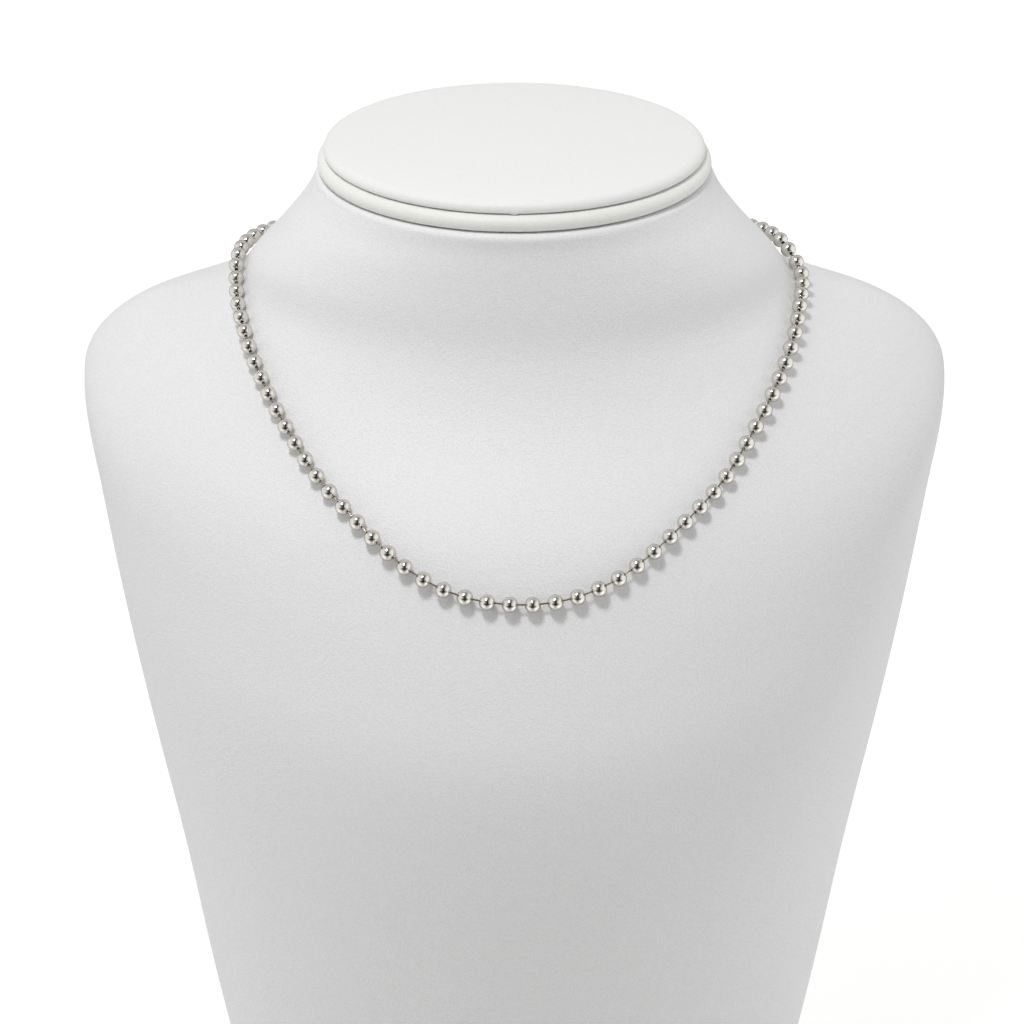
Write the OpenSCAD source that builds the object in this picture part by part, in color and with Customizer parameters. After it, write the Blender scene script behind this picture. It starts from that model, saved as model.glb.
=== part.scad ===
// Ball chain necklace on a padded neck bust display.
// The bust stands on its flat base, its chest towards -Y and its height along +Z.
// The origin is the middle of the base. Lengths are in millimetres.

/* [Bust] */
// Width of the flat base
base_width = 147; // [130:1:165]
// Depth of the flat base
base_depth = 112; // [100:1:124]
// Width across the shoulders
shoulder_width = 226; // [210:1:245]
// Height of the shoulders' widest place
shoulder_height = 200; // [190:1:206]
// How far the shoulders lie behind the middle of the base
shoulder_set_back = 24; // [16:1:30]
// How far the fullest part of the chest stands in front of the middle of the base
chest_reach = 89; // [80:1:96]
// Height of the chest where the neckline begins
chest_height = 172; // [164:1:178]
// How far the upper back stands behind the middle of the base
back_reach = 86; // [80:1:92]
// Height of the back where the nape begins
nape_height = 193; // [187:1:199]

/* [Neck] */
// Height of the neck's flat top, on which the band sits
neck_height = 258.8; // [252:0.2:266]
// Diameter of the neck just under its rounded rim
neck_diameter = 102.4; // [96:0.2:108]
// How far the neck lies behind the middle of the base
neck_set_back = 16; // [12:1:20]
// Radius of the neck's rounded rim
rim_round = 1.6; // [1:0.1:2.5]
// Gap between neck, band and cap
seam_gap = 0.15; // [0.1:0.05:0.3]

/* [Band and cap] */
// Diameter of the rolled band
band_diameter = 101; // [95:0.5:104]
// Thickness of the rolled band, which has a full round edge
band_thickness = 4.2; // [3:0.1:6]
// Diameter of the padded cap
cap_diameter = 97.8; // [90:0.2:100]
// Height of the padded cap at its edge
cap_edge_height = 3.2; // [2.8:0.1:5]
// How much higher the middle of the cap is than its edge
cap_crown = 0.8; // [0.3:0.1:2]
// Rounding under the cap's edge
cap_lower_round = 1; // [0.6:0.1:1.4]
// Rounding above the cap's edge
cap_upper_round = 2.2; // [1:0.1:2.6]

/* [Chain] */
// Diameter of a ball
ball_diameter = 4; // [3.9:0.05:4.4]
// Wall of the hollow ball
ball_wall = 0.3; // [0.2:0.05:0.35]
// Distance from ball to ball along the chain
ball_pitch = 5.64; // [5.4:0.02:6.6]
// Diameter of the two holes in a ball
hole_diameter = 1.2; // [1.1:0.05:1.3]
// Diameter of the wire of a link
wire_diameter = 0.45; // [0.35:0.05:0.5]
// How far the round head at each end of a link overlaps the rim of its hole
head_grip = 0.1; // [0.05:0.01:0.12]
// Clearance between a link's head and the inside of its ball
head_gap = 0.1; // [0.1:0.01:0.15]
// Gap between the balls and the bust
chain_gap = 0.3; // [0.25:0.05:0.6]

/* [Clasp] */
// Wall of the sleeve that joins the chain's two end balls
clasp_wall = 0.35; // [0.25:0.05:0.5]
// Clearance between the sleeve and the balls in it
clasp_gap = 0.15; // [0.12:0.01:0.25]
// Diameter of the hole in each end of the sleeve, where a link leaves it
clasp_hole = 1.9; // [1.8:0.1:2.4]
// Width of the slot along the sleeve, through which the balls snap in
clasp_slot = 1.2; // [0.8:0.1:1.6]

/* [Hidden] */
leather_white = "#e9e9e6";
band_white = "#f1f0ec";
silver = "#c8c8c6";
silver_shade = "#a9a9a7";
// Sides of the round shapes, from the largest to the finest
disc_sides = 96;
roll_sides = 48;
ball_sides = 32;
hole_sides = 24;
wire_sides = 16;

// A section of the bust is a loop through two side points, a front and a back point.
// Its columns: half width, side height, side depth, front depth, front height,
// back depth and back height. Each half of the loop is half an ellipse.
WIDE = 0;
SIDE_Z = 1;
SIDE_Y = 2;
FRONT_Y = 3;
FRONT_Z = 4;
BACK_Y = 5;
BACK_Z = 6;
COLUMNS = 7;
base_section = [base_width / 2, 0, 0, -base_depth / 2, 0, base_depth / 2, 0];
full_section = [shoulder_width / 2, shoulder_height, shoulder_set_back, -chest_reach,
                chest_height, back_reach, nape_height];
rim_bottom = neck_height - rim_round;
neck_section = [neck_diameter / 2, rim_bottom, neck_set_back,
                neck_set_back - neck_diameter / 2, rim_bottom,
                neck_set_back + neck_diameter / 2, rim_bottom];

// Torso sections from the base up to the shoulders, as shares of the way
// from base_section, 0, to full_section, 1, in the order of the columns
torso_shares = [
    [0.000, 0.000, 0.00, 0.000, 0.000, 0.000, 0.000],
    [0.210, 0.200, 0.13, 0.330, 0.220, 0.300, 0.210],
    [0.385, 0.380, 0.33, 0.640, 0.410, 0.550, 0.395],
    [0.615, 0.590, 0.58, 0.910, 0.615, 0.750, 0.600],
    [0.790, 0.765, 0.79, 1.000, 0.780, 0.900, 0.765],
    [0.915, 0.905, 0.92, 0.830, 0.900, 0.975, 0.900],
    [1.000, 1.000, 1.00, 0.615, 1.000, 1.000, 1.000]
];
// Neck sections above the shoulders, as shares of the way
// from the last torso section, 0, to neck_section, 1, in the order of the columns
neck_shares = [
    [0.030, 0.150, -0.12, 0.185, 0.160, 0.00, 0.140],
    [0.135, 0.275, -0.25, 0.395, 0.280, 0.06, 0.235],
    [0.290, 0.370, -0.31, 0.640, 0.400, 0.14, 0.300],
    [0.475, 0.420, -0.31, 0.820, 0.515, 0.25, 0.385],
    [0.650, 0.485, -0.12, 0.945, 0.650, 0.41, 0.480],
    [0.740, 0.625, 0.50, 0.980, 0.790, 0.62, 0.620],
    [0.850, 0.760, 0.87, 1.000, 0.895, 0.82, 0.765],
    [0.950, 0.895, 1.00, 1.010, 0.960, 0.95, 0.915],
    [1.000, 1.000, 1.00, 1.000, 1.000, 1.00, 1.000]
];

// The chain's route over the bust: the angle from the front, positive to +X,
// and the number of the section that it lies on, which may lie between two.
chain_route = [
    [-180, 10.75], [-160, 10.90], [-140, 10.95], [-120, 11.40], [-100, 11.55],
    [-85, 11.45], [-70, 10.85], [-55, 10.20], [-40, 9.20], [-25, 7.85], [-12, 6.65],
    [0, 6.30], [12, 6.55], [25, 7.60], [40, 8.95], [55, 9.95], [70, 10.60],
    [85, 10.95], [100, 11.55], [120, 11.45], [140, 10.80], [160, 10.65]
];

function mix(from, to, shares) =
    [for (i = [0 : COLUMNS - 1]) from[i] + (to[i] - from[i]) * shares[i]];

torso_sections = [for (row = torso_shares) mix(base_section, full_section, row)];
shoulder_section = torso_sections[len(torso_sections) - 1];
sections = concat(torso_sections, [for (row = neck_shares) mix(shoulder_section, neck_section, row)]);
last_section = len(sections) - 1;

// Sections beyond the first and the last continue in a straight line
function section_number(i) =
    i < 0 ? 2 * sections[0] - sections[1]
    : i > last_section ? 2 * sections[last_section] - sections[last_section - 1]
    : sections[i];

// A smooth curve through points b and c, with neighbours a and d
function smooth(a, b, c, d, u) =
    0.5 * (2 * b + (c - a) * u + (2 * a - 5 * b + 4 * c - d) * u * u
           + (3 * b - a - 3 * c + d) * u * u * u);

function section_at(t) =
    let (i = min(floor(t), last_section - 1))
    smooth(section_number(i - 1), section_number(i), section_number(i + 1),
           section_number(i + 2), t - i);

function loop_point(section, angle) =
    let (share = abs(cos(angle)),
         in_front = cos(angle) >= 0,
         far_y = in_front ? section[FRONT_Y] : section[BACK_Y],
         far_z = in_front ? section[FRONT_Z] : section[BACK_Z])
    [section[WIDE] * sin(angle),
     section[SIDE_Y] + (far_y - section[SIDE_Y]) * share,
     section[SIDE_Z] + (far_z - section[SIDE_Z]) * share];

function skin_point(t, angle) = loop_point(section_at(t), angle);

// Direction that points straight out of the bust's skin
small_step = 0.01;
function skin_normal(t, angle) =
    let (up = skin_point(t + small_step, angle) - skin_point(t - small_step, angle),
         side = skin_point(t, angle + small_step) - skin_point(t, angle - small_step),
         out = cross(side, up))
    out / norm(out);

// Bust body: loops of points, joined by triangles and closed with a rounded rim
loop_sides = 72;
loops_per_section = 4;
rim_loops = 4;
loop_angles = [for (k = [0 : loop_sides - 1]) k * 360 / loop_sides];

function rim_loop(turn) =
    let (shrink = 1 - rim_round * (1 - cos(turn)) / (neck_diameter / 2),
         rise = rim_round * sin(turn))
    [for (a = loop_angles)
        [neck_diameter / 2 * shrink * sin(a),
         neck_set_back - neck_diameter / 2 * shrink * cos(a),
         rim_bottom + rise]];

bust_loops = concat(
    [for (k = [0 : last_section * loops_per_section])
        [for (a = loop_angles) skin_point(k / loops_per_section, a)]],
    [for (k = [1 : rim_loops]) rim_loop(90 * k / rim_loops)]
);

// A closed solid through loops that all have as many points
module loft(loops) {
    sides = len(loops[0]);
    last = len(loops) - 1;
    side_faces = [for (i = [0 : last - 1], k = [0 : sides - 1], half = [0, 1])
        let (a = i * sides + k, b = i * sides + (k + 1) % sides)
        half == 0 ? [a, a + sides, b + sides] : [a, b + sides, b]];
    bottom_face = [for (k = [0 : sides - 1]) k];
    top_face = [for (k = [sides - 1 : -1 : 0]) last * sides + k];
    polyhedron(points = [for (loop = loops, p = loop) p],
               faces = concat([bottom_face], side_faces, [top_face]));
}

module bust_body() {
    color(leather_white) loft(bust_loops);
}

// Band: a disc with a full round edge
band_z = neck_height + seam_gap;
module neck_band() {
    edge = band_thickness / 2;
    color(band_white)
        translate([0, neck_set_back, band_z])
            rotate_extrude($fn = disc_sides) {
                square([band_diameter / 2 - edge, band_thickness]);
                translate([band_diameter / 2 - edge, edge])
                    intersection() {
                        circle(r = edge, $fn = roll_sides);
                        translate([0, -edge]) square([edge, band_thickness]);
                    }
            }
}

// Cap: a padded disc whose edge is rounded below and above, with a crowned top
cap_z = band_z + band_thickness + seam_gap;
arc_steps = 5;
function arc(centre, radius, from, to) =
    [for (k = [0 : arc_steps])
        let (a = from + (to - from) * k / arc_steps)
        centre + radius * [cos(a), sin(a)]];

module neck_cap() {
    radius = cap_diameter / 2;
    upper_round = min(cap_upper_round, cap_edge_height - cap_lower_round);
    flat = radius - upper_round;
    crown_steps = 4;
    crown = [for (k = [1 : crown_steps])
        let (share = 1 - k / crown_steps)
        [flat * share, cap_edge_height + cap_crown * (1 - share * share)]];
    color(leather_white)
        translate([0, neck_set_back, cap_z])
            rotate_extrude($fn = disc_sides)
                polygon(concat(
                    [[0, 0]],
                    arc([radius - cap_lower_round, cap_lower_round], cap_lower_round, -90, 0),
                    arc([flat, cap_edge_height - upper_round], upper_round, 0, 90),
                    crown));
}

// Chain: the route's points, lifted off the skin by half a ball and the gap
clasp_outer = ball_diameter + 2 * (clasp_gap + clasp_wall);
// Angle from the back over which the chain rises to the sleeve
clasp_lift_angle = 15;
// Points of the chain's line for each stretch of the route
route_steps = 12;
route_count = len(chain_route);

// The route is a closed loop, so its angles go on past half a turn
function route_number(i) =
    let (turns = floor(i / route_count))
    chain_route[i - turns * route_count] + [360 * turns, 0];

function route_at(s) =
    let (i = floor(s))
    smooth(route_number(i - 1), route_number(i), route_number(i + 1), route_number(i + 2), s - i);

// The sleeve is thicker than a ball, so the chain lies higher near it
function lift_at(angle) =
    let (from_back = 180 - abs(angle > 180 ? angle - 360 : angle))
    ball_diameter / 2 + chain_gap
    + (clasp_outer - ball_diameter) / 2 * exp(-pow(from_back / clasp_lift_angle, 2));

chain_line = [for (k = [0 : route_count * route_steps])
    let (p = route_at(k / route_steps))
    skin_point(p[1], p[0]) + lift_at(p[0]) * skin_normal(p[1], p[0])];
line_last = len(chain_line) - 1;
line_lengths = [for (i = 0, sum = 0;
                     i <= line_last;
                     sum = sum + (i < line_last ? norm(chain_line[i + 1] - chain_line[i]) : 0),
                     i = i + 1) sum];
chain_length = line_lengths[line_last];
ball_count = round(chain_length / ball_pitch);
line_table = [for (axis = [0 : 2]) [for (i = [0 : line_last]) [line_lengths[i], chain_line[i][axis]]]];

function chain_point(distance) = [for (axis = [0 : 2]) lookup(distance, line_table[axis])];

// Middles of the balls. The chain starts and ends in the sleeve behind the neck.
balls = [for (k = [0 : ball_count - 1]) chain_point((k + 0.5) * chain_length / ball_count)];
function ball_direction(k) =
    balls[min(k + 1, ball_count - 1)] - balls[max(k - 1, 0)];

// Turns what stands along +Z to lie along a direction
module along(direction) {
    rotate([0, acos(direction[2] / norm(direction)), atan2(direction[1], direction[0])])
        children();
}

// A ball is hollow, with a hole at each end of its axis
module ball() {
    difference() {
        sphere(d = ball_diameter, $fn = ball_sides);
        sphere(d = ball_diameter - 2 * ball_wall, $fn = ball_sides);
        cylinder(d = hole_diameter, h = 2 * ball_diameter, center = true, $fn = hole_sides);
    }
}

module chain_balls() {
    color(silver)
        for (k = [0 : ball_count - 1])
            translate(balls[k]) along(ball_direction(k)) ball();
}

// A link is a wire with a round head at each end, caught inside two balls
head_diameter = hole_diameter + 2 * head_grip;
head_seat = ball_diameter / 2 - ball_wall - head_diameter / 2 - head_gap;
module link(from, to) {
    span = norm(to - from);
    translate(from) along(to - from) {
        translate([0, 0, head_seat])
            cylinder(d = wire_diameter, h = span - 2 * head_seat, $fn = wire_sides);
        translate([0, 0, head_seat])
            sphere(d = head_diameter, $fn = wire_sides);
        translate([0, 0, span - head_seat])
            sphere(d = head_diameter, $fn = wire_sides);
    }
}

module chain_links() {
    color(silver_shade)
        for (k = [0 : ball_count - 2])
            link(balls[k], balls[k + 1]);
}

// Clasp: a slotted sleeve with closed ends, round the chain's two end balls
module chain_clasp() {
    from = balls[ball_count - 1];
    to = balls[0];
    inner = ball_diameter + 2 * clasp_gap;
    inner_length = norm(to - from) + inner;
    outer_length = inner_length + 2 * clasp_wall;
    color(silver)
        translate((from + to) / 2) along(to - from)
            difference() {
                cylinder(d = clasp_outer, h = outer_length, center = true, $fn = ball_sides);
                cylinder(d = inner, h = inner_length, center = true, $fn = ball_sides);
                cylinder(d = clasp_hole, h = outer_length + clasp_wall, center = true, $fn = hole_sides);
                translate([-clasp_outer, 0, 0])
                    cube([2 * clasp_outer, clasp_slot, inner_length], center = true);
            }
}

bust_body();
neck_band();
neck_cap();
chain_balls();
chain_links();
chain_clasp();
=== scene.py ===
import math
import random

import bpy
from mathutils import Euler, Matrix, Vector


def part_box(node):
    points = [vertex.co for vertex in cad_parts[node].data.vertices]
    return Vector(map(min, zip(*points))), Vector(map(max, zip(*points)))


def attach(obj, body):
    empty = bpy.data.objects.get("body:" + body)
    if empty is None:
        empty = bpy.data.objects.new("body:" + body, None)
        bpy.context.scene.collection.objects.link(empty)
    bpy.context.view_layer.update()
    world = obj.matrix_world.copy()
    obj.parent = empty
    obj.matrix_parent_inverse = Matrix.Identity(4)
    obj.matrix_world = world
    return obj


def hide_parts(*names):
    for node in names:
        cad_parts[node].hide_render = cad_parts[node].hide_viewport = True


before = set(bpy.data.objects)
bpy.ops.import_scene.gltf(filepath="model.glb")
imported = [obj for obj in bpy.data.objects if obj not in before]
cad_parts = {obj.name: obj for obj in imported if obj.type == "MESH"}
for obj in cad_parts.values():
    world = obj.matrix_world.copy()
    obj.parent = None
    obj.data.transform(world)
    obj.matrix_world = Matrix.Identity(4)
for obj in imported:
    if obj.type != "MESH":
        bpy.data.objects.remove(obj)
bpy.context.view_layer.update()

# Camera: it stands in front of the chest and above it, and looks down at the necklace
# through a long lens, so that the bust fills the picture and the base is cut off.
MM = 0.001
PICTURE_SIDE_PX = 1024
FOCAL_LENGTH_PX = 4689.7
SENSOR_MM = 36
CAMERA_PLACE = Vector((-0.6, -1123.9, 651.4)) * MM
LOOK_DOWN_DEG = 23.2
NEAREST_SEEN = 10 * MM

bpy.ops.object.select_all(action="DESELECT")
bpy.ops.object.camera_add(
    location=CAMERA_PLACE, rotation=(math.radians(90 - LOOK_DOWN_DEG), 0, 0))
camera = bpy.context.object
camera.name = "photo_camera"
camera.data.sensor_width = SENSOR_MM
camera.data.lens = FOCAL_LENGTH_PX / PICTURE_SIDE_PX * SENSOR_MM
camera.data.clip_start = NEAREST_SEEN
bpy.context.scene.camera = camera


# Bust: chest, shoulders, back and neck are one hollow moulding, wrapped tight in white
# leatherette. The leatherette is glued on, rolled over the neck's rim and turned under the base.
BASE_EDGE_ROUND = 1.6 * MM
BASE_EDGE_STEPS = 3
FLAT_END_RINGS = [2.25 * MM, 9 * MM]
FLAT_NORMAL_Z = 0.999
SKIN_SMOOTHING = 2
SKIN_UNEVENNESS = 0.16 * MM
SKIN_WAVE_LENGTH = 45 * MM
MERGE_DISTANCE = 0.005 * MM
BUST_WHITE = "#F1F1F2"
# Painted shade: the grey laid into the grain's valleys.
BUST_VALLEY_SHADE = "#E8E8E9"
BUST_GRAIN = 0.5 * MM
BUST_GRAIN_HEIGHT = 0.08 * MM


def select_only(piece):
    bpy.ops.object.select_all(action="DESELECT")
    piece.select_set(True)
    bpy.context.view_layer.objects.active = piece


def copy_of_solid(node, name):
    """A loose copy of a solid of the frame, with its corners merged."""
    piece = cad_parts[node].copy()
    piece.data = piece.data.copy()
    piece.name = name
    piece.parent = None
    bpy.context.collection.objects.link(piece)
    select_only(piece)
    bpy.ops.object.mode_set(mode="EDIT")
    bpy.ops.mesh.select_all(action="SELECT")
    bpy.ops.mesh.remove_doubles(threshold=MERGE_DISTANCE)
    bpy.ops.mesh.select_all(action="DESELECT")
    bpy.ops.object.mode_set(mode="OBJECT")
    piece.data.materials.clear()
    return piece


def select_faces(piece, wanted):
    """Leaves edit mode's selection on the faces that are wanted."""
    bpy.ops.object.mode_set(mode="EDIT")
    bpy.ops.mesh.select_mode(type="FACE")
    bpy.ops.mesh.select_all(action="DESELECT")
    bpy.ops.object.mode_set(mode="OBJECT")
    for face in piece.data.polygons:
        face.select = wanted(face)
    bpy.ops.object.mode_set(mode="EDIT")


def select_edges(piece, wanted):
    """Leaves edit mode's selection on the edges whose two ends are wanted."""
    bpy.ops.object.mode_set(mode="EDIT")
    bpy.ops.mesh.select_mode(type="EDGE")
    bpy.ops.mesh.select_all(action="DESELECT")
    bpy.ops.object.mode_set(mode="OBJECT")
    corners = piece.data.vertices
    for edge in piece.data.edges:
        edge.select = all(wanted(corners[i].co) for i in edge.vertices)
    bpy.ops.object.mode_set(mode="EDIT")


def apply_modifier(piece, kind, **settings):
    """Gives a piece a modifier with its settings, and applies it to the mesh."""
    select_only(piece)
    modifier = piece.modifiers.new(kind.lower(), kind)
    for setting, value in settings.items():
        setattr(modifier, setting, value)
    bpy.ops.object.modifier_apply(modifier=modifier.name)


def make_uneven(piece, amount, wave_length):
    """Soft irregular waves, as hand-wrapped leatherette has them."""
    clouds = bpy.data.textures.new(piece.name + "_waves", "CLOUDS")
    clouds.noise_scale = wave_length
    clouds.noise_depth = 1
    apply_modifier(piece, "DISPLACE", texture=clouds, strength=amount, mid_level=0.5,
                   texture_coords="LOCAL")


def to_linear(colour):
    """An sRGB hex colour as linear red, green, blue and alpha."""
    channels = [int(colour[i:i + 2], 16) / 255 for i in (1, 3, 5)]
    linear = [c / 12.92 if c <= 0.04045 else ((c + 0.055) / 1.055) ** 2.4 for c in channels]
    return (*linear, 1)


def add_node(tree, kind, settings=None, inputs=None):
    """Adds a node with its settings, and fills its inputs with values or other nodes' outputs."""
    node = tree.nodes.new(kind)
    for setting, value in (settings or {}).items():
        setattr(node, setting, value)
    for socket, value in (inputs or {}).items():
        if isinstance(value, bpy.types.NodeSocket):
            tree.links.new(value, node.inputs[socket])
        else:
            node.inputs[socket].default_value = value
    return node


def new_material(name):
    """An empty node material, its tree and its output."""
    material = bpy.data.materials.new(name)
    material.use_nodes = True
    material.node_tree.nodes.clear()
    output = material.node_tree.nodes.new("ShaderNodeOutputMaterial")
    return material, material.node_tree, output


# The leatherette's pattern. The fine grain's width and height are shares of a pebble's, the
# painted shade of a valley begins and ends at shares of a pebble's width from its middle, and dirt
# greys the white by a share of the valleys' painted grey. Real grain is finer: this is as coarse
# as it needs to be to show.
PEBBLE_DISORDER = 0.85
FINE_GRAIN_WIDTH = 0.35
FINE_GRAIN_HEIGHT = 0.25
VALLEY_SHADE_START = 0.2
VALLEY_SHADE_END = 0.8
DIRT_WIDTH = 60 * MM
DIRT_STRENGTH = 0.3
ROUGHNESS_ON_PEBBLES = 0.46
ROUGHNESS_IN_VALLEYS = 0.62
PVC_IOR = 1.5


def leatherette(name, white, valley_shade_grey, grain, grain_height):
    """PVC leatherette, embossed with a pebbled grain under a satin coat.

    It looks soft and almost matt, with painted shade greying its tiny valleys, and never quite
    evenly clean.
    """
    material, tree, output = new_material(name)
    place = add_node(tree, "ShaderNodeTexCoord").outputs["Object"]
    pebbles = add_node(tree, "ShaderNodeTexVoronoi", {"feature": "F1"}, {
        "Vector": place, "Scale": 1 / grain, "Randomness": PEBBLE_DISORDER})
    fine = add_node(tree, "ShaderNodeTexNoise", inputs={
        "Vector": place, "Scale": 1 / (FINE_GRAIN_WIDTH * grain), "Detail": 2.0})
    relief = add_node(tree, "ShaderNodeMath", {"operation": "MULTIPLY_ADD"}, {
        0: fine.outputs["Fac"], 1: FINE_GRAIN_HEIGHT, 2: pebbles.outputs["Distance"]})
    bump = add_node(tree, "ShaderNodeBump", {"invert": True}, {
        "Strength": 1.0, "Distance": grain_height, "Height": relief.outputs[0]})
    dirt = add_node(tree, "ShaderNodeTexNoise", inputs={
        "Vector": place, "Scale": 1 / DIRT_WIDTH, "Detail": 2.0})
    # Painted shade: the valleys between the pebbles are greyed, where shade would fall in them.
    painted_valley_shade = add_node(tree, "ShaderNodeMapRange", inputs={
        "Value": pebbles.outputs["Distance"], "From Min": VALLEY_SHADE_START, "From Max": VALLEY_SHADE_END})
    dirt_and_valley_shade = add_node(tree, "ShaderNodeMath", {"operation": "MULTIPLY_ADD", "use_clamp": True}, {
        0: dirt.outputs["Fac"], 1: DIRT_STRENGTH, 2: painted_valley_shade.outputs["Result"]})
    tint = add_node(tree, "ShaderNodeMix", {"data_type": "RGBA"}, {
        "Factor": dirt_and_valley_shade.outputs[0], "A": to_linear(white), "B": to_linear(valley_shade_grey)})
    satin = add_node(tree, "ShaderNodeMapRange", inputs={
        "Value": pebbles.outputs["Distance"], "To Min": ROUGHNESS_ON_PEBBLES,
        "To Max": ROUGHNESS_IN_VALLEYS})
    shader = add_node(tree, "ShaderNodeBsdfPrincipled", inputs={
        "Base Color": tint.outputs["Result"], "Roughness": satin.outputs["Result"],
        "IOR": PVC_IOR, "Normal": bump.outputs["Normal"]})
    tree.links.new(shader.outputs["BSDF"], output.inputs["Surface"])
    return material


bust = copy_of_solid("bust_body", "neck_bust")
bust_low, bust_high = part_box("bust_body")


def on_a_flat_end(face):
    """Whether a face lies on the bust's flat base or on its neck's flat top."""
    at_the_base = face.center.z < bust_low.z + MERGE_DISTANCE
    at_the_top = face.center.z > bust_high.z - MERGE_DISTANCE
    return abs(face.normal.z) > FLAT_NORMAL_Z and (at_the_base or at_the_top)


# The skin's triangles are paired to four-sided faces. Each flat end becomes one face with rings
# inside its rim, so that it stays flat when the skin is smoothed.
select_faces(bust, lambda face: not on_a_flat_end(face))
bpy.ops.mesh.tris_convert_to_quads(face_threshold=math.pi, shape_threshold=math.pi)
select_faces(bust, on_a_flat_end)
bpy.ops.mesh.dissolve_faces()
select_edges(bust, lambda corner: corner.z < bust_low.z + MERGE_DISTANCE)
bpy.ops.mesh.bevel(offset=BASE_EDGE_ROUND, segments=BASE_EDGE_STEPS, affect="EDGES")
select_faces(bust, on_a_flat_end)
for width in FLAT_END_RINGS:
    bpy.ops.mesh.inset(thickness=width, use_boundary=True)
bpy.ops.object.mode_set(mode="OBJECT")
apply_modifier(bust, "SUBSURF", levels=SKIN_SMOOTHING, render_levels=SKIN_SMOOTHING)
make_uneven(bust, SKIN_UNEVENNESS, SKIN_WAVE_LENGTH)

# The waves may not push the base below the table.
for corner in bust.data.vertices:
    corner.co.z = max(corner.co.z, bust_low.z)
bpy.ops.object.shade_smooth()

# The bust's leatherette has the deepest grain, and painted shade greys its valleys, which makes
# the white look soft.
bust.data.materials.append(leatherette(
    "bust_leatherette", BUST_WHITE, BUST_VALLEY_SHADE, BUST_GRAIN, BUST_GRAIN_HEIGHT))
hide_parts("bust_body")
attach(bust, "root")


# Band: a soft roll of smoother leatherette round a cord, glued on the neck's flat top.
# It stands a little inside the neck's rim, and the cap presses on it.
DISC_SIDES = 256
ROLL_SHARE = 0.98
ROLL_STEPS = 9
BAND_RINGS = [2 * MM, 6 * MM]
DISC_UNEVENNESS = 0.12 * MM
DISC_WAVE_LENGTH = 14 * MM
BAND_WHITE = "#F1F1ED"
# Painted shade: the grey laid into the grain's valleys.
BAND_VALLEY_SHADE = "#ECECE7"
BAND_GRAIN = 0.6 * MM
BAND_GRAIN_HEIGHT = 0.03 * MM


def centre_and_size(node):
    """The centre and the size of the box round a solid of the frame."""
    low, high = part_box(node)
    return (low + high) / 2, high - low


def disc(name, node, radius, thickness):
    """A round disc that stands where a solid of the frame stands."""
    centre, _ = centre_and_size(node)
    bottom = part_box(node)[0].z
    bpy.ops.object.select_all(action="DESELECT")
    bpy.ops.mesh.primitive_cylinder_add(
        vertices=DISC_SIDES, radius=radius, depth=thickness,
        location=(centre.x, centre.y, bottom + thickness / 2))
    piece = bpy.context.object
    piece.name = name
    bpy.ops.object.transform_apply(location=True, rotation=True, scale=True)
    return piece


def round_edge(piece, height, offset, segments):
    """Rounds the edge of a disc that lies at one height."""
    select_edges(piece, lambda corner: abs(corner.z - height) < MERGE_DISTANCE)
    bpy.ops.mesh.bevel(offset=offset, segments=segments, affect="EDGES", clamp_overlap=True)
    bpy.ops.object.mode_set(mode="OBJECT")


def ring_the_flat_ends(piece, widths):
    """Lays rings of faces inside a disc's flat ends, so that they take a curve."""
    select_faces(piece, lambda face: len(face.vertices) > DISC_SIDES / 2)
    for width in widths:
        bpy.ops.mesh.inset(thickness=width, use_boundary=True)
    bpy.ops.object.mode_set(mode="OBJECT")


_, band_size = centre_and_size("neck_band")
band_low, band_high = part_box("neck_band")
band_radius = (band_size.x + band_size.y) / 4
band = disc("neck_band_roll", "neck_band", band_radius, band_size.z)
roll_radius = band_size.z / 2 * ROLL_SHARE
round_edge(band, band_low.z, roll_radius, ROLL_STEPS)
round_edge(band, band_high.z, roll_radius, ROLL_STEPS)
ring_the_flat_ends(band, BAND_RINGS)
make_uneven(band, DISC_UNEVENNESS, DISC_WAVE_LENGTH)
bpy.ops.object.shade_smooth()

# The band's leatherette is stretched smooth and a little creamier, so the roll shades evenly.
band.data.materials.append(leatherette(
    "band_leatherette", BAND_WHITE, BAND_VALLEY_SHADE, BAND_GRAIN, BAND_GRAIN_HEIGHT))
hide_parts("neck_band")
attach(band, "root")


# Cap: a board padded with thin foam and wrapped in leatherette, laid on the band.
# Its top is slightly crowned, its edge soft, and the wrap ends in a small fold at the front.
CAP_LOWER_ROUND = 1.25 * MM
CAP_LOWER_STEPS = 6
CAP_UPPER_ROUND = 1.9 * MM
CAP_UPPER_STEPS = 10
CAP_ROUND_WIDENING = 1.2
CAP_CROWN = 0.8 * MM
CAP_RING = 5 * MM
CAP_RINGS = 8
FOLD_START = 0.95
FOLD_WIDTH = 0.7 * MM
FOLD_HEIGHT = 1.0 * MM
FOLD_DEPTH = 0.6 * MM
FOLD_SAG = 0.25 * MM
CAP_WHITE = "#F2F2F1"
# Painted shade: the grey laid into the grain's valleys.
CAP_VALLEY_SHADE = "#EDEDEC"
CAP_GRAIN = 0.6 * MM
CAP_GRAIN_HEIGHT = 0.03 * MM

cap_low, cap_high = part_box("neck_cap")
_, cap_size = centre_and_size("neck_cap")
cap_radius = cap_size.x / 2
cap_edge_height = cap_size.z - CAP_CROWN
cap_centre = Vector((0, (cap_low.y + cap_high.y) / 2, cap_low.z))

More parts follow.
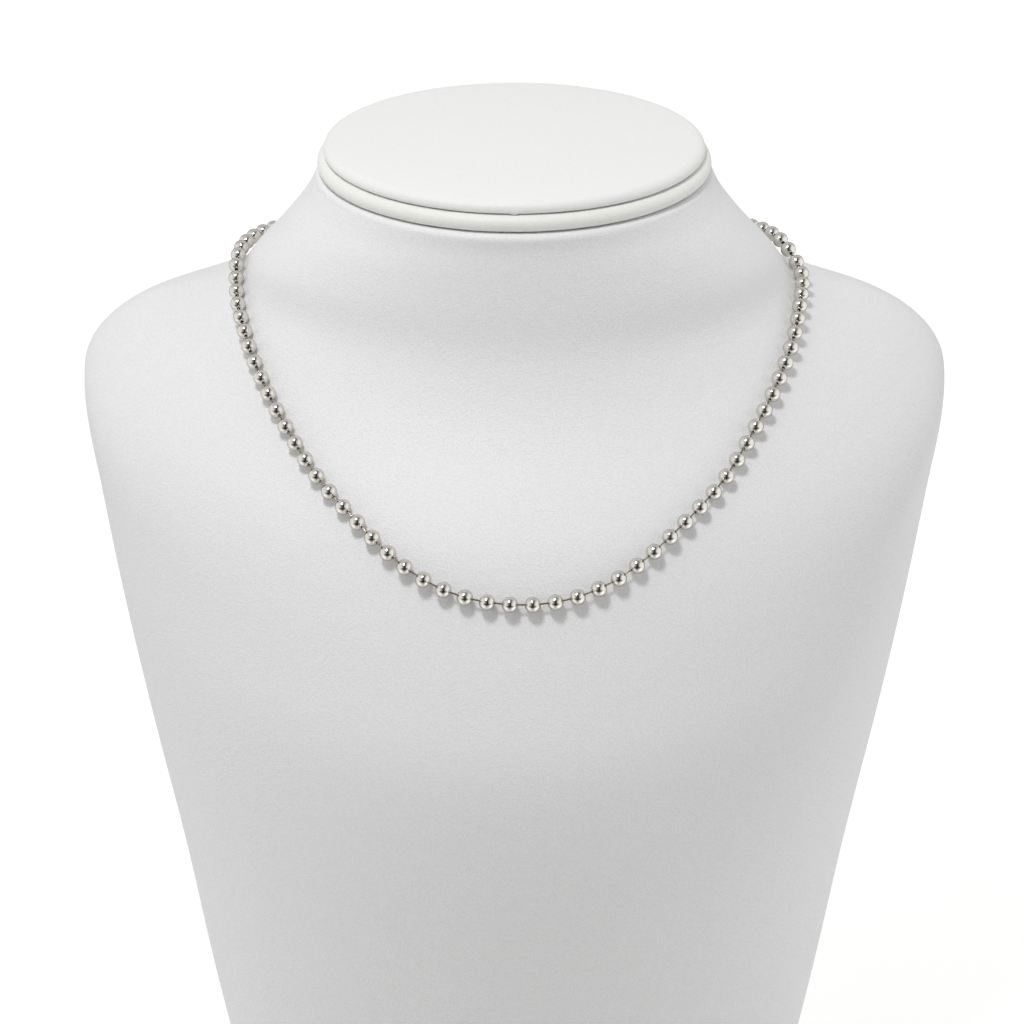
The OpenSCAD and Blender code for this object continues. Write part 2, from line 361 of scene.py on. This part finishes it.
# The disc starts too high and is pressed down once its edges are round, so that the rounds come
# out wider than they are high.
start_height = cap_edge_height * CAP_ROUND_WIDENING
cap = disc("neck_cap_pad", "neck_cap", cap_radius, start_height)
round_edge(cap, cap_low.z, CAP_LOWER_ROUND * CAP_ROUND_WIDENING, CAP_LOWER_STEPS)
round_edge(cap, cap_low.z + start_height, CAP_UPPER_ROUND * CAP_ROUND_WIDENING, CAP_UPPER_STEPS)
ring_the_flat_ends(cap, [CAP_RING] * CAP_RINGS)
bpy.ops.object.mode_set(mode="EDIT")
bpy.ops.mesh.select_all(action="SELECT")
bpy.ops.transform.resize(value=(1, 1, 1 / CAP_ROUND_WIDENING), center_override=cap_centre)
bpy.ops.object.mode_set(mode="OBJECT")
flat_radius = cap_radius - CAP_UPPER_ROUND
for corner in cap.data.vertices:
    share = (corner.co - cap_centre).xy.length / flat_radius
    if corner.co.z > cap_low.z + cap_edge_height / 2 and share < 1:
        corner.co.z += CAP_CROWN * (1 - share ** 2)
    if corner.co.y < cap_centre.y:
        across = corner.co.x / FOLD_WIDTH
        down = (corner.co.z - cap_low.z) / FOLD_HEIGHT
        pinch = math.exp(-across ** 2 - down ** 2) if share > FOLD_START else 0
        corner.co.y -= FOLD_DEPTH * pinch
        corner.co.z -= FOLD_SAG * pinch
make_uneven(cap, DISC_UNEVENNESS, DISC_WAVE_LENGTH)
bpy.ops.object.shade_smooth()

# The cap's leatherette is drawn tight over the foam, so its top looks smooth and plain.
cap.data.materials.append(leatherette(
    "cap_leatherette", CAP_WHITE, CAP_VALLEY_SHADE, CAP_GRAIN, CAP_GRAIN_HEIGHT))
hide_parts("neck_cap")
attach(cap, "root")


# Balls: each is rolled and pressed hollow from a strip of plated steel, with a hole at each
# end, and barrel-polished to a mirror. The chain's balls are joined to one piece.
BALL_RADIUS = 2.0 * MM
BALL_WALL = 0.3 * MM
BALL_SEGMENTS = 28
BALL_RINGS = 16
HOLE_RADIUS = 0.45 * MM
SHARP_EDGE_DEG = 40
BOX_CORNER_OPPOSITE_THE_FIRST = 6
START_FROM_CLASP = Vector((-1, 0, 0)) * MM
BALL_SPIN_SEED = 7
BALL_SILVER = "#DFDCD5"
BALL_RIM = "#CFCAC1"
BALL_ROUGHNESS = 0.12
BALL_DENTS = 0.25
# Painted shade: the inside's grey is darker than the plating, for the shade in the holes.
BALL_INSIDE_SHADED = "#9A9182"
BALL_INSIDE_ROUGHNESS = 0.35
NO_DENTS = 0.0


def middles_of_loose_solids(node):
    """The middle of each loose solid of a node of the frame."""
    copy_of_solid(node, "scratch")
    bpy.ops.object.mode_set(mode="EDIT")
    bpy.ops.mesh.select_all(action="SELECT")
    bpy.ops.mesh.separate(type="LOOSE")
    bpy.ops.object.mode_set(mode="OBJECT")
    middles = []
    for part in list(bpy.context.selected_objects):
        corners = [Vector(corner) for corner in part.bound_box]
        middles.append((corners[0] + corners[BOX_CORNER_OPPOSITE_THE_FIRST]) / 2)
        bpy.data.objects.remove(part, do_unlink=True)
    return middles


def in_a_row(points, start):
    """The points in the order in which a chain takes them."""
    left = list(points)
    row = []
    here = start
    while left:
        here = min(left, key=lambda point: (point - here).length)
        left.remove(here)
        row.append(here)
    return row


def placed_copy(pattern, place, turn):
    """A copy of the pattern with its own mesh, moved to its place and turned."""
    copy = pattern.copy()
    copy.data = pattern.data.copy()
    copy.location = place
    copy.rotation_mode = "QUATERNION"
    copy.rotation_quaternion = turn
    bpy.context.collection.objects.link(copy)
    return copy


def joined(copies, name):
    """One piece made of the copies, with its place in its mesh."""
    bpy.ops.object.select_all(action="DESELECT")
    for copy in copies:
        copy.select_set(True)
    bpy.context.view_layer.objects.active = copies[0]
    bpy.ops.object.join()
    piece = bpy.context.object
    piece.name = name
    piece.rotation_mode = "XYZ"
    bpy.ops.object.transform_apply(location=True, rotation=True, scale=True)
    return piece


# The plating's pattern: its dents and polishing marks, and the smoothest and roughest that the
# marks make it. Real marks are finer, and these are as coarse as they need to be to show.
DENT_WIDTH = 1.1 * MM
DENT_DEPTH = 0.05 * MM
MARK_WIDTH = 0.4 * MM
SMOOTHEST = 0.7
ROUGHEST = 1.5


def plated_metal(name, colour, rim_colour, roughness, dents):
    """Nickel plating on steel: a mirror, a little dented and marked, and darker at its rims."""
    material, tree, output = new_material(name)
    place = add_node(tree, "ShaderNodeTexCoord").outputs["Object"]
    waves = add_node(tree, "ShaderNodeTexNoise", inputs={
        "Vector": place, "Scale": 1 / DENT_WIDTH, "Detail": 1.0})
    bump = add_node(tree, "ShaderNodeBump", inputs={
        "Strength": dents, "Distance": DENT_DEPTH, "Height": waves.outputs["Fac"]})
    marks = add_node(tree, "ShaderNodeTexNoise", inputs={
        "Vector": place, "Scale": 1 / MARK_WIDTH, "Detail": 3.0})
    dull = add_node(tree, "ShaderNodeMapRange", inputs={
        "Value": marks.outputs["Fac"], "To Min": roughness * SMOOTHEST,
        "To Max": roughness * ROUGHEST})
    shader = add_node(tree, "ShaderNodeBsdfPrincipled", inputs={
        "Base Color": to_linear(colour), "Metallic": 1.0, "Specular Tint": to_linear(rim_colour),
        "Roughness": dull.outputs["Result"], "Normal": bump.outputs["Normal"]})
    tree.links.new(shader.outputs["BSDF"], output.inputs["Surface"])
    return material


# The sphere is cut off at its second ring from each pole, and drawn in to a small hole there.
bpy.ops.object.select_all(action="DESELECT")
bpy.ops.mesh.primitive_uv_sphere_add(
    segments=BALL_SEGMENTS, ring_count=BALL_RINGS, radius=BALL_RADIUS)
ball = bpy.context.object
cut_angle = 2 * math.pi / BALL_RINGS
cut_radius = BALL_RADIUS * math.sin(cut_angle)
cut_height = BALL_RADIUS * math.cos(cut_angle)
hole_height = math.sqrt(BALL_RADIUS ** 2 - HOLE_RADIUS ** 2)
select_faces(ball, lambda face: abs(face.center.z) > cut_height)
bpy.ops.mesh.delete(type="FACE")
for side in (1, -1):
    select_edges(ball, lambda corner: side * corner.z > cut_height - MERGE_DISTANCE)
    rise = side * (hole_height - cut_height)
    bpy.ops.mesh.extrude_region_move(TRANSFORM_OT_translate={"value": (0, 0, rise)})
    narrowing = HOLE_RADIUS / cut_radius
    bpy.ops.transform.resize(value=(narrowing, narrowing, 1), center_override=(0, 0, 0))
    bpy.ops.object.mode_set(mode="OBJECT")

# The polished outside mirrors the bust and the room: a bright spot over a dark core. The inside
# was never polished, so it is dull, and its grey is painted darker to stand in for the shade in
# the holes.
ball.data.materials.append(plated_metal(
    "ball_metal", BALL_SILVER, BALL_RIM, BALL_ROUGHNESS, BALL_DENTS))
ball.data.materials.append(plated_metal(
    "ball_inside", BALL_INSIDE_SHADED, BALL_INSIDE_SHADED, BALL_INSIDE_ROUGHNESS, NO_DENTS))
apply_modifier(ball, "SOLIDIFY", thickness=BALL_WALL, offset=-1.0, use_rim=True,
               material_offset=1, material_offset_rim=0)
bpy.ops.object.shade_smooth_by_angle(angle=math.radians(SHARP_EDGE_DEG))

# The row starts beside the connector. Each ball points along the chain and is spun at random.
clasp_middle, _ = centre_and_size("chain_clasp")
ball_places = in_a_row(middles_of_loose_solids("chain_balls"), clasp_middle + START_FROM_CLASP)
last_ball = len(ball_places) - 1
random.seed(BALL_SPIN_SEED)
ball_copies = []
for k, place in enumerate(ball_places):
    along = ball_places[min(k + 1, last_ball)] - ball_places[max(k - 1, 0)]
    spin = Euler((0, 0, random.uniform(0, math.tau))).to_quaternion()
    ball_copies.append(placed_copy(ball, place, along.to_track_quat("Z", "Y") @ spin))
bpy.data.objects.remove(ball, do_unlink=True)
balls = joined(ball_copies, "chain_ball_row")
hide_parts("chain_balls")
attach(balls, "root")


# Links: each is a short piece of wire with a head pressed on both ends, caught inside two
# neighbouring balls, in which it turns freely. Only the wire shows between them.
WIRE_RADIUS = 0.225 * MM
HEAD_RADIUS = 0.7 * MM
HEAD_PLACE = 0.9 * MM
WIRE_SIDES = 12
HEAD_SEGMENTS = 10
HEAD_RINGS = 6
# Painted shade: the wire's grey and rim tint are darkened for the shade it mirrors.
LINK_SHADED_GREY = "#948C7C"
LINK_SHADED_RIM = "#625B4E"
LINK_ROUGHNESS = 0.2

link_copies = []
for here, there in zip(ball_places, ball_places[1:]):
    span = (there - here).length
    turn = (there - here).to_track_quat("Z", "Y")
    bpy.ops.object.select_all(action="DESELECT")
    bpy.ops.mesh.primitive_cylinder_add(
        vertices=WIRE_SIDES, radius=WIRE_RADIUS, depth=span - 2 * HEAD_PLACE,
        location=(here + there) / 2)
    wire = bpy.context.object
    wire.rotation_mode = "QUATERNION"
    wire.rotation_quaternion = turn
    link_copies.append(wire)
    for end, towards in ((here, there), (there, here)):
        bpy.ops.mesh.primitive_uv_sphere_add(
            segments=HEAD_SEGMENTS, ring_count=HEAD_RINGS, radius=HEAD_RADIUS,
            location=end + (towards - end).normalized() * HEAD_PLACE)
        link_copies.append(bpy.context.object)
links = joined(link_copies, "chain_link_row")
bpy.ops.object.shade_smooth_by_angle(angle=math.radians(SHARP_EDGE_DEG))

# The wire is drawn and plated but not polished, and its grey and rims are painted darker than the
# balls' to stand in for the shade it mirrors.
links.data.materials.append(plated_metal(
    "link_metal", LINK_SHADED_GREY, LINK_SHADED_RIM, LINK_ROUGHNESS, NO_DENTS))
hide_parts("chain_links")
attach(links, "root")


# Connector: a small sleeve of sheet metal, bent round the chain's two end balls, which
# snap into it through its slot. It hides behind the neck and is closed here.
CLASP_EDGE_ROUND = 0.05 * MM
CLASP_EDGE_STEPS = 2
CLASP_SILVER = "#E4E2DC"
CLASP_RIM = "#8C877E"
CLASP_ROUGHNESS = 0.12
CLASP_DENTS = 0.15

clasp = copy_of_solid("chain_clasp", "chain_connector")
apply_modifier(clasp, "BEVEL", width=CLASP_EDGE_ROUND, segments=CLASP_EDGE_STEPS,
               limit_method="ANGLE")
bpy.ops.object.shade_smooth_by_angle(angle=math.radians(SHARP_EDGE_DEG))

# The sleeve's sheet is smooth and plated bright, so it mirrors the room with only faint dents.
clasp.data.materials.append(plated_metal(
    "clasp_metal", CLASP_SILVER, CLASP_RIM, CLASP_ROUGHNESS, CLASP_DENTS))
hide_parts("chain_clasp")
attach(clasp, "root")


# Studio: a plain white table, a softbox overhead and a little in front under a bright
# ceiling panel, and a bright room with a dark opening behind the camera.
FLOOR_SIDE = 8.0
FLOOR_WHITE = "#C6C6C4"
FLOOR_GLOW = 0.42
FLOOR_BOUNCE = 0.24
WHITE = (1, 1, 1, 1)
KEY_TARGET = Vector((0, -40, 210)) * MM
KEY_DIRECTION = (-0.206, -0.373, 0.905)
KEY_DISTANCE = 0.95
KEY_SIDE = 0.17
KEY_WATTS = 3.8

bpy.ops.object.select_all(action="DESELECT")
bpy.ops.mesh.primitive_plane_add(size=FLOOR_SIDE, location=(0, 0, 0))
floor = bpy.context.object
floor.name = "floor"

# White paper under strong light: it throws light up at the bust, and the camera sees it almost
# as white as the backdrop. The balls mirror the room's lower side in its place.
paper, tree, output = new_material("white_paper")
view = add_node(tree, "ShaderNodeLightPath")
brightening = add_node(tree, "ShaderNodeMath", {"operation": "MULTIPLY_ADD"}, {
    0: view.outputs["Is Camera Ray"], 1: FLOOR_GLOW, 2: FLOOR_BOUNCE})
matt = add_node(tree, "ShaderNodeBsdfDiffuse", inputs={"Color": to_linear(FLOOR_WHITE)})
glow = add_node(tree, "ShaderNodeEmission", inputs={
    "Color": WHITE, "Strength": brightening.outputs[0]})
both = add_node(tree, "ShaderNodeAddShader", inputs={0: matt.outputs[0], 1: glow.outputs[0]})
tree.links.new(both.outputs[0], output.inputs["Surface"])
floor.data.materials.append(paper)
floor.visible_glossy = False

key_place = KEY_TARGET + Vector(KEY_DIRECTION).normalized() * KEY_DISTANCE
bpy.ops.object.light_add(type="AREA", location=key_place)
key = bpy.context.object
key.name = "softbox"
key.rotation_mode = "QUATERNION"
key.rotation_quaternion = (key_place - KEY_TARGET).to_track_quat("Z", "Y")
key.data.size = KEY_SIDE
key.data.energy = KEY_WATTS
key.visible_camera = False

# Each bright side of the room: its direction, the angles from it between which it fades, in
# degrees, and its strength.
ROOM_LIGHT = 0.12
ROOM_SIDES = [
    ((-1, -0.1, -0.1), (30, 80), 0.84),
    ((1, -0.15, -0.1), (30, 80), 0.97),
    ((0, 1, 0), (25, 78), 0.28),
    ((0, 0.6, 0.8), (15, 50), 0.38),
    ((-0.3, -0.25, 0.93), (14, 30), 0.6),
    ((0, 0, -1), (25, 78), 0.6),
]
# The dark opening: the middle and the half size of its patches, to the right and up from -Y,
# in degrees, and the shares of that half size between which a patch fades.
DARK_PATCHES = [
    ((0, -5), (52, 18)),
    ((9, 28), (13, 26)),
]
PATCH_FADE = (0.7, 1.2)
DARKEST = 0.42
OPENING_TINT = "#A98C7C"
BACKDROP_STRENGTH = 1.0

room = bpy.data.worlds.new("bright_room")
room.use_nodes = True
tree = room.node_tree
tree.nodes.clear()
direction = add_node(tree, "ShaderNodeTexCoord").outputs["Generated"]
light = ROOM_LIGHT
for side, (near, far), strength in ROOM_SIDES:
    facing = add_node(tree, "ShaderNodeVectorMath", {"operation": "DOT_PRODUCT"}, {
        0: direction, 1: Vector(side).normalized()})
    share = add_node(tree, "ShaderNodeMapRange", {"interpolation_type": "SMOOTHSTEP"}, {
        "Value": facing.outputs["Value"], "From Min": math.cos(math.radians(far)),
        "From Max": math.cos(math.radians(near)), "To Max": strength})
    total = add_node(tree, "ShaderNodeMath", {"operation": "ADD"}, {
        0: share.outputs["Result"], 1: light})
    light = total.outputs[0]
parts = add_node(tree, "ShaderNodeSeparateXYZ", inputs={"Vector": direction}).outputs
forward = add_node(tree, "ShaderNodeMath", {"operation": "MULTIPLY"}, {0: parts["Y"], 1: -1.0})
aside = add_node(tree, "ShaderNodeMath", {"operation": "ARCTAN2"}, {
    0: parts["X"], 1: forward.outputs[0]})
above = add_node(tree, "ShaderNodeMath", {"operation": "ARCSINE"}, {0: parts["Z"]})
angles = add_node(tree, "ShaderNodeCombineXYZ", inputs={
    "X": aside.outputs[0], "Y": above.outputs[0]})
openness = 1.0
for middle, half_size in DARK_PATCHES:
    shift = add_node(tree, "ShaderNodeVectorMath", {"operation": "SUBTRACT"}, {
        0: angles.outputs[0], 1: [math.radians(a) for a in (*middle, 0)]})
    shares = add_node(tree, "ShaderNodeVectorMath", {"operation": "DIVIDE"}, {
        0: shift.outputs[0], 1: [math.radians(a) for a in (*half_size, 1)]})
    reach = add_node(tree, "ShaderNodeVectorMath", {"operation": "LENGTH"}, {0: shares.outputs[0]})
    lit = add_node(tree, "ShaderNodeMapRange", {"interpolation_type": "SMOOTHSTEP"}, {
        "Value": reach.outputs["Value"], "From Min": PATCH_FADE[0], "From Max": PATCH_FADE[1],
        "To Min": DARKEST})
    product = add_node(tree, "ShaderNodeMath", {"operation": "MULTIPLY"}, {
        0: lit.outputs["Result"], 1: openness})
    openness = product.outputs[0]
brightness = add_node(tree, "ShaderNodeMath", {"operation": "MULTIPLY"}, {0: light, 1: openness})
wall_colour = add_node(tree, "ShaderNodeMix", {"data_type": "RGBA"}, {
    "Factor": openness, "A": to_linear(OPENING_TINT), "B": WHITE})
walls = add_node(tree, "ShaderNodeBackground", inputs={
    "Color": wall_colour.outputs["Result"], "Strength": brightness.outputs[0]})
backdrop = add_node(tree, "ShaderNodeBackground", inputs={
    "Color": WHITE, "Strength": BACKDROP_STRENGTH})
view = add_node(tree, "ShaderNodeLightPath")
seen = add_node(tree, "ShaderNodeMixShader", inputs={
    0: view.outputs["Is Camera Ray"], 1: walls.outputs[0], 2: backdrop.outputs[0]})
add_node(tree, "ShaderNodeOutputWorld", inputs={"Surface": seen.outputs[0]})
bpy.context.scene.world = room
bpy.context.scene.view_settings.view_transform = "Standard"
